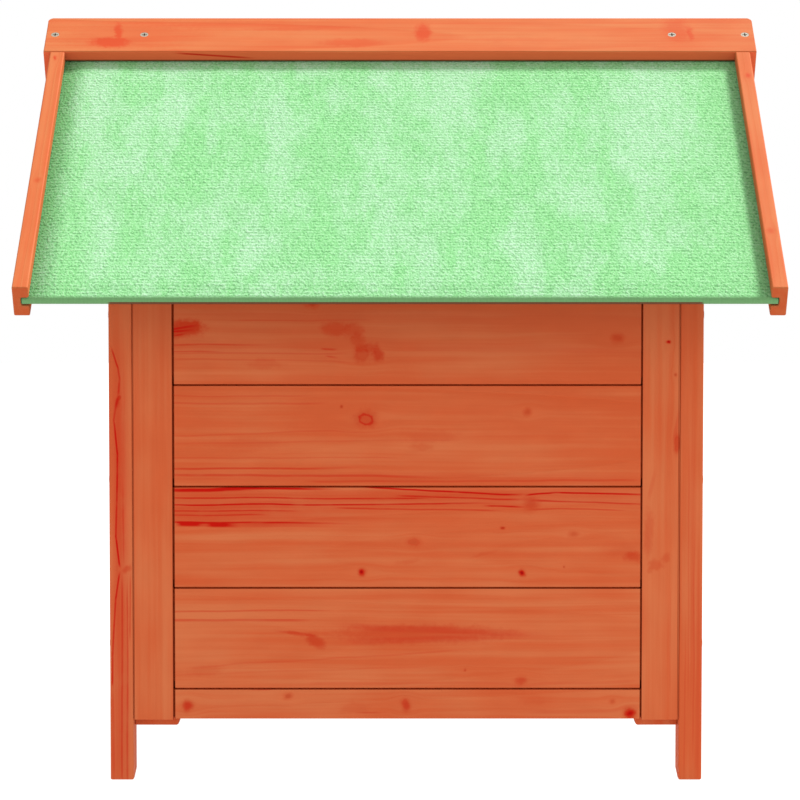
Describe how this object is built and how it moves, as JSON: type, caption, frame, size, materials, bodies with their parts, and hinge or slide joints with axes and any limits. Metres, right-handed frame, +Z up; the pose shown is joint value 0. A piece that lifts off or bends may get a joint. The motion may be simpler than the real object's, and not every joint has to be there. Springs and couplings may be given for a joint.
{
  "type": "pet kennel",
  "caption": "Small gabled wooden pet kennel on corner posts, with board walls, an arched entrance in one gable and felt-covered roof sheets held in grooved rails.",
  "frame": {"origin": "on the ground under the middle of the roof, halfway along the ridge", "axes": "+Z up from the feet to the ridge, +X along the ridge from the entrance gable to the back gable, +Y across the body towards the left wall"},
  "size_m": [0.509, 0.541, 0.5209],
  "materials": {
    "wood": "stained softwood, satin",
    "inner_wood": "stained softwood, dull",
    "sheet_wood": "thin raw plywood",
    "felt": "light green roofing felt",
    "screw_steel": "plated steel"
  },
  "bodies": {
    "root": {"front_right_post": "wood", "front_left_post": "wood", "back_right_post": "wood", "back_left_post": "wood", "right_front_stile": "wood", "right_back_stile": "wood", "right_front_batten": "inner_wood", "right_back_batten": "inner_wood", "right_sill_board": "wood", "right_board_1": "wood", "right_board_2": "wood", "right_board_3": "wood", "right_board_4": "wood", "right_top_plate": "wood", "left_front_stile": "wood", "left_back_stile": "wood", "left_front_batten": "inner_wood", "left_back_batten": "inner_wood", "left_sill_board": "wood", "left_board_1": "wood", "left_board_2": "wood", "left_board_3": "wood", "left_board_4": "wood", "left_top_plate": "wood", "front_right_rafter": "wood", "front_left_rafter": "wood", "front_sill_board": "wood", "front_right_board_2": "wood", "front_left_board_2": "wood", "front_right_board_3": "wood", "front_left_board_3": "wood", "front_arch_board": "wood", "front_upper_board": "wood", "front_peak_board": "wood", "right_door_jamb": "inner_wood", "left_door_jamb": "inner_wood", "back_right_rafter": "wood", "back_left_rafter": "wood", "back_board_1": "wood", "back_board_2": "wood", "back_board_3": "wood", "back_board_4": "wood", "back_board_5": "wood", "back_peak_board": "wood", "floor_panel": "sheet_wood", "right_floor_bearer": "inner_wood", "left_floor_bearer": "inner_wood", "right_roof_sheet": "sheet_wood", "left_roof_sheet": "sheet_wood", "right_roof_felt": "felt", "left_roof_felt": "felt", "right_front_rail": "wood", "right_back_rail": "wood", "left_front_rail": "wood", "left_back_rail": "wood", "right_ridge_batten": "wood", "left_ridge_batten": "wood", "ridge_screws": "screw_steel", "corner_screws": "screw_steel", "floor_screws": "screw_steel"}
  },
  "joints": []
}
